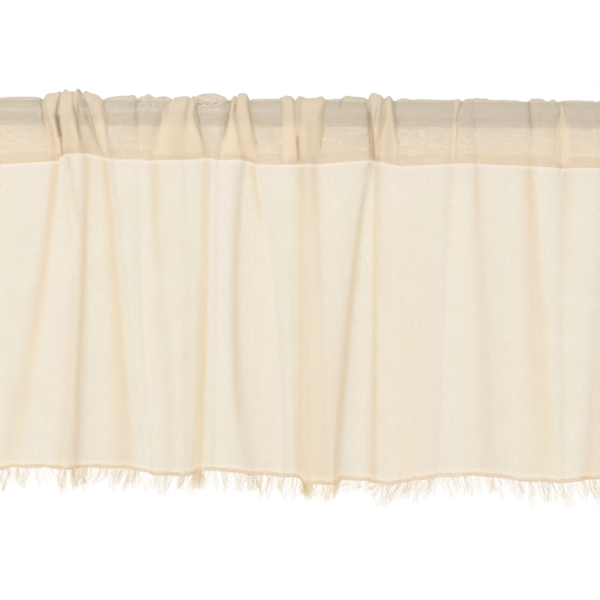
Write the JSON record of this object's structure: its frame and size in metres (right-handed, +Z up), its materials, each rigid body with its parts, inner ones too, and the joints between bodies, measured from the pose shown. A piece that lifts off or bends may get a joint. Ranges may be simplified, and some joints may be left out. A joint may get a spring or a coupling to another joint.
{
  "type": "sheer fringed valance curtain with rod",
  "caption": "Sheer woven valance gathered by its rod pocket on a plain round rod, with a narrow turned hem and a frayed thread fringe along its foot.",
  "frame": {"origin": "centre of the rod's left end face, seen from the front", "axes": "+X along the rod to its right end, +Z up, and the front of the cloth faces -Y"},
  "size_m": [1.2, 0.0492, 0.4218],
  "materials": {
    "cloth": "sheer cream cotton in a loose plain weave, matt",
    "thread": "loose cream cotton threads, some of them tan, matt",
    "rod_metal": "plain satin grey metal"
  },
  "bodies": {
    "root": {"panel": "cloth", "fringe": "thread", "rod": "rod_metal"}
  },
  "joints": []
}
